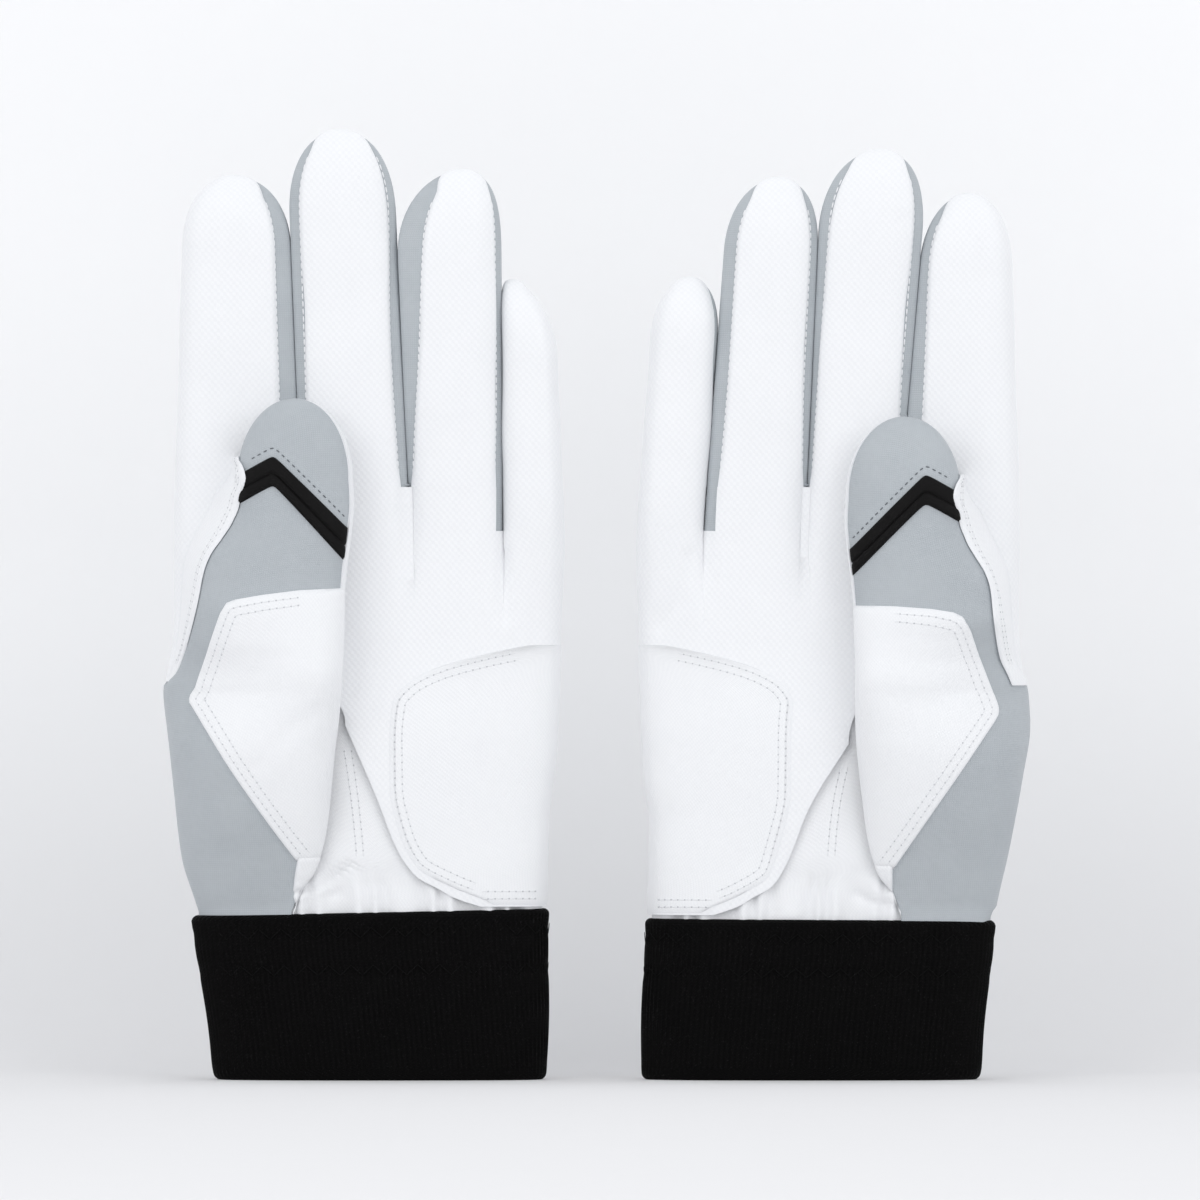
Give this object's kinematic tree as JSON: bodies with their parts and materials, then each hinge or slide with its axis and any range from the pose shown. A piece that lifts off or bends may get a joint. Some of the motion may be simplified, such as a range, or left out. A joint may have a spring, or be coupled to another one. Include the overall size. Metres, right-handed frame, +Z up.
{
  "type": "batting gloves",
  "caption": "Left and right batting gloves with leather palms, stretch-fabric backs and knit cuffs, standing on the cuffs with the thumbs folded over the palms.",
  "frame": {"origin": "on the surface that the cuffs stand on, under the middle of the pair's box", "axes": "+Z up from the cuffs to the fingertips, palms facing -Y, right-hand glove towards +X"},
  "size_m": [0.215, 0.045, 0.237],
  "materials": {
    "white_leather": "white synthetic leather with a fine embossed diamond grain",
    "grey_fabric": "light grey four-way stretch fabric, matt",
    "black_trim": "black trim strip with a stitched groove",
    "black_knit": "black ribbed elastic knit with zigzag stitching",
    "elastic_tape": "woven elastic tape, hidden in the cuff"
  },
  "bodies": {
    "left_hand": {"left_palm_leather": "white_leather", "left_hand_back": "grey_fabric", "left_wrist_gusset": "white_leather", "left_heel_pad": "white_leather", "left_fourchette_index_middle": "grey_fabric", "left_fourchette_middle_ring": "grey_fabric", "left_fourchette_ring_little": "grey_fabric", "left_thumb_panel": "grey_fabric", "left_thumb_patch": "white_leather", "left_thumb_leather": "white_leather", "left_web_flap": "white_leather", "left_cuff_knit": "black_knit", "left_cuff_elastic": "elastic_tape"},
    "left_index": {"left_index_front": "white_leather", "left_index_back": "grey_fabric", "left_index_outer_side": "grey_fabric"},
    "left_middle": {"left_middle_front": "white_leather", "left_middle_back": "grey_fabric", "left_middle_thumb_side": "grey_fabric", "left_middle_outer_side": "grey_fabric"},
    "left_ring": {"left_ring_front": "white_leather", "left_ring_back": "grey_fabric", "left_ring_thumb_side": "grey_fabric", "left_ring_outer_side": "grey_fabric"},
    "left_little": {"left_little_front": "white_leather", "left_little_back": "grey_fabric", "left_little_thumb_side": "grey_fabric"},
    "left_thumb": {"left_thumb_tip_panel": "grey_fabric", "left_thumb_tip_leather": "white_leather", "left_thumb_chevron": "black_trim"},
    "right_hand": {"right_palm_leather": "white_leather", "right_hand_back": "grey_fabric", "right_wrist_gusset": "white_leather", "right_heel_pad": "white_leather", "right_fourchette_index_middle": "grey_fabric", "right_fourchette_middle_ring": "grey_fabric", "right_fourchette_ring_little": "grey_fabric", "right_thumb_panel": "grey_fabric", "right_thumb_patch": "white_leather", "right_thumb_leather": "white_leather", "right_web_flap": "white_leather", "right_cuff_knit": "black_knit", "right_cuff_elastic": "elastic_tape"},
    "right_index": {"right_index_front": "white_leather", "right_index_back": "grey_fabric", "right_index_outer_side": "grey_fabric"},
    "right_middle": {"right_middle_front": "white_leather", "right_middle_back": "grey_fabric", "right_middle_thumb_side": "grey_fabric", "right_middle_outer_side": "grey_fabric"},
    "right_ring": {"right_ring_front": "white_leather", "right_ring_back": "grey_fabric", "right_ring_thumb_side": "grey_fabric", "right_ring_outer_side": "grey_fabric"},
    "right_little": {"right_little_front": "white_leather", "right_little_back": "grey_fabric", "right_little_thumb_side": "grey_fabric"},
    "right_thumb": {"right_thumb_tip_panel": "grey_fabric", "right_thumb_tip_leather": "white_leather", "right_thumb_chevron": "black_trim"}
  },
  "joints": [
    {"name": "left_index_bend", "type": "hinge", "parent": "left_hand", "child": "left_index", "pos_m": [-0.09041, -0.0012, 0.1835], "axis": [1, 0, 0], "range_deg": [0, 80], "stiffness_Nm_per_rad": 0.01},
    {"name": "left_middle_bend", "type": "hinge", "parent": "left_hand", "child": "left_middle", "pos_m": [-0.06276, -0.0018, 0.187], "axis": [1, 0, 0], "range_deg": [0, 80], "stiffness_Nm_per_rad": 0.01},
    {"name": "left_ring_bend", "type": "hinge", "parent": "left_hand", "child": "left_ring", "pos_m": [-0.0368, -0.0015, 0.182], "axis": [1, 0, 0], "range_deg": [0, 80], "stiffness_Nm_per_rad": 0.01},
    {"name": "left_little_bend", "type": "hinge", "parent": "left_hand", "child": "left_little", "pos_m": [-0.01641, 0.0001, 0.1625], "axis": [1, 0, 0], "range_deg": [0, 80], "stiffness_Nm_per_rad": 0.01},
    {"name": "left_thumb_lift", "type": "hinge", "parent": "left_hand", "child": "left_thumb", "pos_m": [-0.07615, -0.0205, 0.13275], "axis": [0.8391, 0, -0.5439], "range_deg": [0, 45], "stiffness_Nm_per_rad": 0.01},
    {"name": "pair_slide", "type": "slide", "parent": "left_hand", "child": "right_hand", "axis": [1, 0, 0], "range_m": [0, 0.1]},
    {"name": "right_index_bend", "type": "hinge", "parent": "right_hand", "child": "right_index", "pos_m": [0.09174, -0.0012, 0.179], "axis": [1, 0, 0], "range_deg": [0, 80], "stiffness_Nm_per_rad": 0.01},
    {"name": "right_middle_bend", "type": "hinge", "parent": "right_hand", "child": "right_middle", "pos_m": [0.06643, -0.0018, 0.182], "axis": [1, 0, 0], "range_deg": [0, 80], "stiffness_Nm_per_rad": 0.01},
    {"name": "right_ring_bend", "type": "hinge", "parent": "right_hand", "child": "right_ring", "pos_m": [0.04183, -0.0015, 0.18], "axis": [1, 0, 0], "range_deg": [0, 80], "stiffness_Nm_per_rad": 0.01},
    {"name": "right_little_bend", "type": "hinge", "parent": "right_hand", "child": "right_little", "pos_m": [0.01995, 0.0001, 0.163], "axis": [1, 0, 0], "range_deg": [0, 80], "stiffness_Nm_per_rad": 0.01},
    {"name": "right_thumb_lift", "type": "hinge", "parent": "right_hand", "child": "right_thumb", "pos_m": [0.07615, -0.0205, 0.12825], "axis": [0.8391, 0, 0.5439], "range_deg": [0, 45], "stiffness_Nm_per_rad": 0.01}
  ]
}
